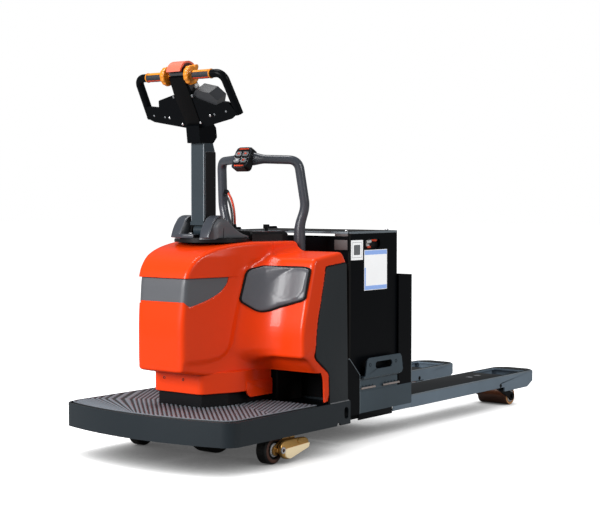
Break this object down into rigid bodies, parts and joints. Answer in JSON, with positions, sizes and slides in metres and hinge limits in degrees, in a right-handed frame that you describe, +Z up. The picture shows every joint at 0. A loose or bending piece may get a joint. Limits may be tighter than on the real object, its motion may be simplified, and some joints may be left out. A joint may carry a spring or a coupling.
{
  "type": "electric pallet truck",
  "caption": "Ride-on electric pallet truck with standing platform, moulded hood, steering tiller, grab bar, battery case and low-lift forks on load rollers.",
  "frame": {"origin": "bottom centre of the bounding box, on the floor, with the forks part-raised", "axes": "+X towards the fork tips, -X towards the operator's platform, +Z up, +Y to the left when facing the fork tips"},
  "size_m": [2.54, 0.88, 1.55],
  "materials": {
    "skirt_paint": "satin powder coat",
    "slate_paint": "satin powder coat",
    "black_paint": "satin",
    "cast_black": "painted",
    "orange_shell": "gloss",
    "grey_plastic": "fine texture",
    "black_plastic": "fine texture",
    "mat_rubber": "ribbed",
    "pad_foam": "soft skin",
    "black_tyre": "worn",
    "amber_roller": "polyurethane",
    "zinc_steel": "yellow zinc",
    "link_steel": "satin",
    "hub_iron": "painted",
    "wheel_yellow": "gloss",
    "cap_red": "satin",
    "key_grey": "satin",
    "knob_white": "satin",
    "grip_rubber": "ribbed",
    "cable_skin": "smooth"
  },
  "bodies": {
    "chassis": {"platform_skirt": "skirt_paint", "floor_plate": "black_paint", "platform_mat": "mat_rubber", "plinth": "black_plastic", "underframe": "black_paint", "rear_gussets": "black_paint", "power_unit": "black_plastic", "hood_nose": "orange_shell", "hood_wall": "orange_shell", "side_panel_right": "skirt_paint", "side_panel_left": "skirt_paint", "badge_band": "grey_plastic", "back_pad_right": "pad_foam", "back_pad_left": "pad_foam", "console": "black_plastic", "grab_bar": "grey_plastic", "pod_housing": "black_plastic", "pod_cables": "cable_skin"},
    "knob": {"console_knob": "black_plastic"},
    "steering": {"tiller_base": "black_plastic", "tiller_ears": "grey_plastic", "drive_unit": "cast_black"},
    "drive_wheel": {"drive_hub": "hub_iron", "drive_tyre": "black_tyre"},
    "tiller": {"tiller_column": "slate_paint", "column_inserts": "black_plastic", "tiller_neck": "black_paint", "head_plate": "black_paint", "head_housing": "grey_plastic", "loop_guard_right": "black_paint", "loop_guard_left": "black_paint", "grip_right": "grip_rubber", "grip_left": "grip_rubber"},
    "thumb": {"thumb_wheels": "wheel_yellow"},
    "cap": {"safety_cap": "cap_red"},
    "horn": {"horn_button": "knob_white"},
    "lift_frame": {"fork_carriage": "slate_paint", "carriage_base": "black_paint", "fork_right": "slate_paint", "fork_left": "slate_paint", "battery_case": "black_paint", "battery": "black_plastic", "load_back": "black_paint"},
    "lid": {"battery_lid": "black_paint"},
    "retainer_r": {"retainer_right": "slate_paint"},
    "retainer_l": {"retainer_left": "slate_paint"},
    "link_r": {"roller_link_right": "link_steel"},
    "link_l": {"roller_link_left": "link_steel"},
    "roller_r": {"load_roller_right": "amber_roller"},
    "roller_l": {"load_roller_left": "amber_roller"},
    "caster_arm_r": {"caster_arm_right": "zinc_steel"},
    "caster_arm_l": {"caster_arm_left": "zinc_steel"},
    "caster_r": {"caster_wheel_right": "black_tyre"},
    "caster_l": {"caster_wheel_left": "black_tyre"},
    "key_1": {"pod_key_1": "key_grey"},
    "key_2": {"pod_key_2": "key_grey"},
    "key_3": {"pod_key_3": "key_grey"},
    "key_4": {"pod_key_4": "key_grey"}
  },
  "joints": [
    {"name": "steer", "type": "hinge", "parent": "chassis", "child": "steering", "pos_m": [-0.812, 0, 0.855], "axis": [0, 0, 1], "range_deg": [-90, 90]},
    {"name": "drive_spin", "type": "hinge", "parent": "steering", "child": "drive_wheel", "pos_m": [-0.812, 0, 0.115], "axis": [0, 1, 0], "continuous": true},
    {"name": "tiller_tilt", "type": "hinge", "parent": "steering", "child": "tiller", "pos_m": [-0.863, 0, 0.892], "axis": [0, -1, 0], "range_deg": [0, 55]},
    {"name": "thumb_turn", "type": "hinge", "parent": "tiller", "child": "thumb", "pos_m": [-1, 0, 1.493], "axis": [0, 1, 0], "range_deg": [-35, 35], "stiffness_Nm_per_rad": 0.6},
    {"name": "cap_press", "type": "slide", "parent": "tiller", "child": "cap", "axis": [0.4955, 0, -0.8686], "range_m": [0, 0.005], "stiffness_N_per_m": 2500},
    {"name": "horn_press", "type": "slide", "parent": "tiller", "child": "horn", "axis": [0, 1, 0], "range_m": [0, 0.003], "stiffness_N_per_m": 1200},
    {"name": "knob_press", "type": "slide", "parent": "chassis", "child": "knob", "axis": [0, 0, -1], "range_m": [0, 0.006], "stiffness_N_per_m": 1500},
    {"name": "key_1_press", "type": "slide", "parent": "chassis", "child": "key_1", "axis": [0.8829, 0, -0.4695], "range_m": [0, 0.002], "stiffness_N_per_m": 900},
    {"name": "key_2_press", "type": "slide", "parent": "chassis", "child": "key_2", "axis": [0.8829, 0, -0.4695], "range_m": [0, 0.002], "stiffness_N_per_m": 900},
    {"name": "key_3_press", "type": "slide", "parent": "chassis", "child": "key_3", "axis": [0.8829, 0, -0.4695], "range_m": [0, 0.002], "stiffness_N_per_m": 900},
    {"name": "key_4_press", "type": "slide", "parent": "chassis", "child": "key_4", "axis": [0.8829, 0, -0.4695], "range_m": [0, 0.002], "stiffness_N_per_m": 900},
    {"name": "lift", "type": "slide", "parent": "chassis", "child": "lift_frame", "axis": [0, 0, 1], "range_m": [-0.065, 0.055]},
    {"name": "lid_open", "type": "hinge", "parent": "lift_frame", "child": "lid", "pos_m": [-0.162, 0.3295, 0.883], "axis": [-1, 0, 0], "range_deg": [0, 100]},
    {"name": "retainer_right_lift", "type": "slide", "parent": "lift_frame", "child": "retainer_r", "axis": [0, 0, 1], "range_m": [0, 0.08]},
    {"name": "retainer_left_lift", "type": "slide", "parent": "lift_frame", "child": "retainer_l", "axis": [0, 0, 1], "range_m": [0, 0.08]},
    {"name": "link_r_swing", "type": "hinge", "parent": "lift_frame", "child": "link_r", "pos_m": [0.906, -0.2335, 0.11], "axis": [0, 1, 0], "range_deg": [-25.3, 21.5]},
    {"name": "roller_r_spin", "type": "hinge", "parent": "link_r", "child": "roller_r", "pos_m": [1.05106, -0.2335, 0.0425], "axis": [0, 1, 0], "continuous": true},
    {"name": "link_l_swing", "type": "hinge", "parent": "lift_frame", "child": "link_l", "pos_m": [0.906, 0.2335, 0.11], "axis": [0, 1, 0], "range_deg": [-25.3, 21.5]},
    {"name": "roller_l_spin", "type": "hinge", "parent": "link_l", "child": "roller_l", "pos_m": [1.05106, 0.2335, 0.0425], "axis": [0, 1, 0], "continuous": true},
    {"name": "caster_r_arm", "type": "hinge", "parent": "chassis", "child": "caster_arm_r", "pos_m": [-0.783, -0.341, 0.101], "axis": [0, 1, 0], "range_deg": [-5, 5], "stiffness_Nm_per_rad": 2500},
    {"name": "caster_r_spin", "type": "hinge", "parent": "caster_arm_r", "child": "caster_r", "pos_m": [-0.869, -0.341, 0.055], "axis": [0, 1, 0], "continuous": true},
    {"name": "caster_l_arm", "type": "hinge", "parent": "chassis", "child": "caster_arm_l", "pos_m": [-0.783, 0.341, 0.101], "axis": [0, 1, 0], "range_deg": [-5, 5], "stiffness_Nm_per_rad": 2500},
    {"name": "caster_l_spin", "type": "hinge", "parent": "caster_arm_l", "child": "caster_l", "pos_m": [-0.869, 0.341, 0.055], "axis": [0, 1, 0], "continuous": true}
  ],
  "couplings": [
    {"joint": "link_r_swing", "follows": "lift", "rad_per_m": 6.72},
    {"joint": "link_l_swing", "follows": "lift", "rad_per_m": 6.72}
  ]
}
